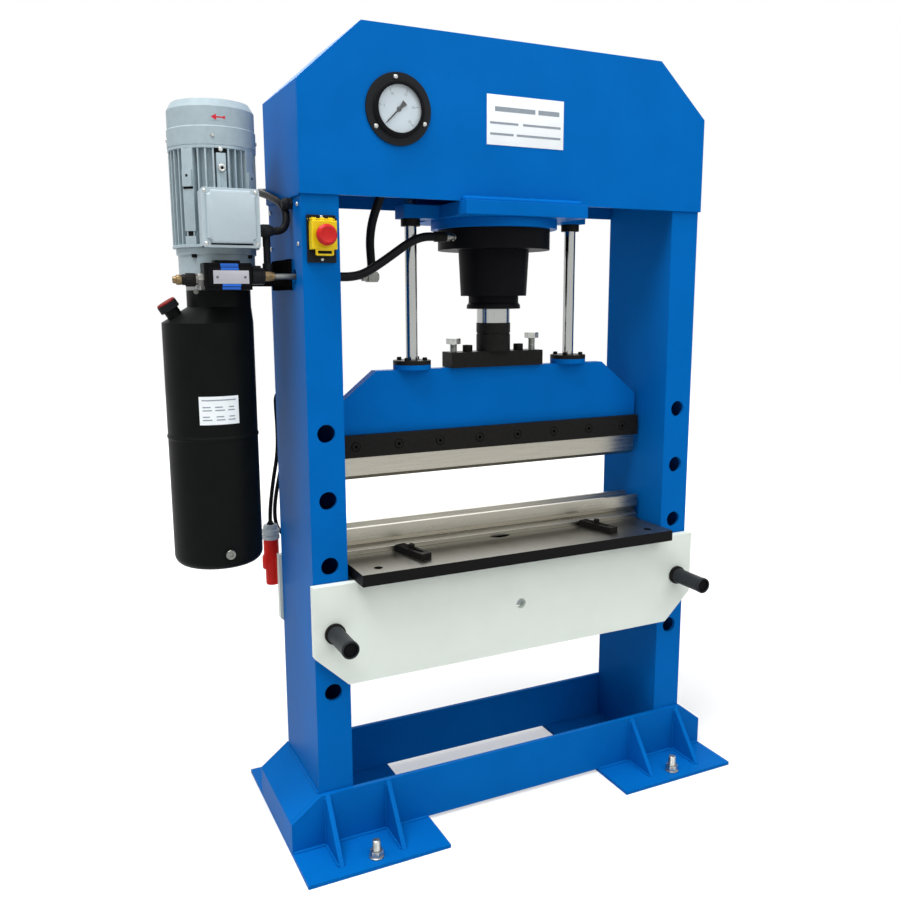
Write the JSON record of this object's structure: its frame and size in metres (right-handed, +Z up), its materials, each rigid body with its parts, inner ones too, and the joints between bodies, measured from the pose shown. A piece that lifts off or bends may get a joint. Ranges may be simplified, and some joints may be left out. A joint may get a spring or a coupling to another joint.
{
  "type": "hydraulic press",
  "caption": "Bending press on a portal frame: vertical cylinder, guided ram with blade, V-die on a pinned height-adjustable bed, side-mounted power unit.",
  "frame": {"origin": "on the floor, midway between the columns and midway between their front and rear faces", "axes": "+X to the right seen from the front, +Y to the back, +Z up"},
  "size_m": [1.2189, 0.47, 1.6],
  "materials": {
    "blue_paint": "satin powder coat",
    "offwhite_paint": "satin powder coat",
    "black_paint": "semi-gloss",
    "steel": "ground",
    "black_steel": "black oxide",
    "chrome": "polished",
    "zinc": "zinc plated",
    "brass": "machined",
    "motor_grey": "painted casting",
    "black_plastic": "matte",
    "yellow_plastic": "moulded",
    "red_plastic": "moulded",
    "green_plastic": "moulded",
    "rubber": "matte",
    "glass": "clear"
  },
  "bodies": {
    "frame": {"anchor_bolts": "zinc", "base_end_covers": "blue_paint", "base_plates": "blue_paint", "bed_plates": "offwhite_paint", "bed_ties": "offwhite_paint", "bell_housing": "motor_grey", "cable_glands": "black_plastic", "clamp_bolts": "black_steel", "column_left": "blue_paint", "column_right": "blue_paint", "crown_cover": "blue_paint", "crown_plates": "blue_paint", "cylinder_barrel": "black_paint", "cylinder_flange": "blue_paint", "fan_cowl": "motor_grey", "foot_plates": "blue_paint", "gauge_case": "black_plastic", "gauge_hose": "rubber", "gauge_lens": "glass", "gland_ring": "black_steel", "guide_bushes": "black_steel", "gussets": "blue_paint", "hose_fittings": "zinc", "manifold": "zinc", "motor_conduit": "rubber", "motor_frame": "motor_grey", "mount_plate": "blue_paint", "oil_pump": "black_paint", "pressure_hose": "rubber", "relief_valve": "zinc", "solenoid": "black_plastic", "supply_cord": "rubber", "supply_plug": "red_plastic", "switch_base": "black_plastic", "table_plate": "steel", "tank": "black_paint", "terminal_box": "motor_grey", "unit_bracket": "black_paint", "v_die": "steel", "valve_body": "black_paint"},
    "ram": {"ram_plate": "blue_paint", "blade_holder_bar": "black_steel", "bending_blade": "steel", "ram_screws": "black_steel", "ram_base_block": "black_steel", "guide_flanges": "black_steel", "guide_rods": "chrome", "piston_rod": "chrome"},
    "left_bed_pin": {"bed_pin_left": "zinc"},
    "right_bed_pin": {"bed_pin_right": "zinc"},
    "left_die_clamp": {"die_clamp_left": "black_steel"},
    "right_die_clamp": {"die_clamp_right": "black_steel"},
    "gauge_pointer": {"gauge_needle": "black_plastic"},
    "flap": {"switch_flap": "yellow_plastic"},
    "mushroom": {"stop_mushroom": "red_plastic"},
    "stop_push": {"stop_button": "red_plastic"},
    "start_push": {"start_button": "green_plastic"},
    "rotor": {"motor_rotor": "zinc"},
    "cap": {"filler_cap": "black_plastic"},
    "relief_knob": {"relief_screw": "brass"}
  },
  "joints": [
    {"name": "ram_stroke", "type": "slide", "parent": "frame", "child": "ram", "axis": [0, 0, 1], "range_m": [-0.105, 0.025]},
    {"name": "left_pin_pull", "type": "slide", "parent": "frame", "child": "left_bed_pin", "axis": [0, -1, 0], "range_m": [0, 0.29]},
    {"name": "right_pin_pull", "type": "slide", "parent": "frame", "child": "right_bed_pin", "axis": [0, -1, 0], "range_m": [0, 0.29]},
    {"name": "left_clamp_slide", "type": "slide", "parent": "frame", "child": "left_die_clamp", "axis": [0.2419, -0.9703, 0], "range_m": [0, 0.012]},
    {"name": "right_clamp_slide", "type": "slide", "parent": "frame", "child": "right_die_clamp", "axis": [0.2419, -0.9703, 0], "range_m": [0, 0.012]},
    {"name": "gauge_pointer_turn", "type": "hinge", "parent": "frame", "child": "gauge_pointer", "pos_m": [-0.268, -0.125, 1.452], "axis": [0, 1, 0], "range_deg": [0, 270], "stiffness_Nm_per_rad": 0.01},
    {"name": "flap_hinge", "type": "hinge", "parent": "frame", "child": "flap", "pos_m": [-0.422, -0.1243, 1.249], "axis": [-1, 0, 0], "range_deg": [0, 110]},
    {"name": "mushroom_press", "type": "slide", "parent": "flap", "child": "mushroom", "axis": [0, 1, 0], "range_m": [0, 0.005], "stiffness_N_per_m": 400, "springref_m": -0.002},
    {"name": "stop_press", "type": "slide", "parent": "frame", "child": "stop_push", "axis": [0, 1, 0], "range_m": [0, 0.004], "stiffness_N_per_m": 300, "springref_m": -0.002},
    {"name": "start_press", "type": "slide", "parent": "frame", "child": "start_push", "axis": [0, 1, 0], "range_m": [0, 0.004], "stiffness_N_per_m": 300, "springref_m": -0.002},
    {"name": "motor_spin", "type": "hinge", "parent": "frame", "child": "rotor", "pos_m": [-0.582, 0.034, 1.3], "axis": [0, 0, 1], "continuous": true},
    {"name": "filler_cap_lift", "type": "slide", "parent": "frame", "child": "cap", "axis": [-0.5299, 0, 0.848], "range_m": [0, 0.03]},
    {"name": "relief_turn", "type": "hinge", "parent": "frame", "child": "relief_knob", "pos_m": [-0.65, -0.059, 1.141], "axis": [-1, 0, 0], "range_deg": [-360, 360]}
  ]
}
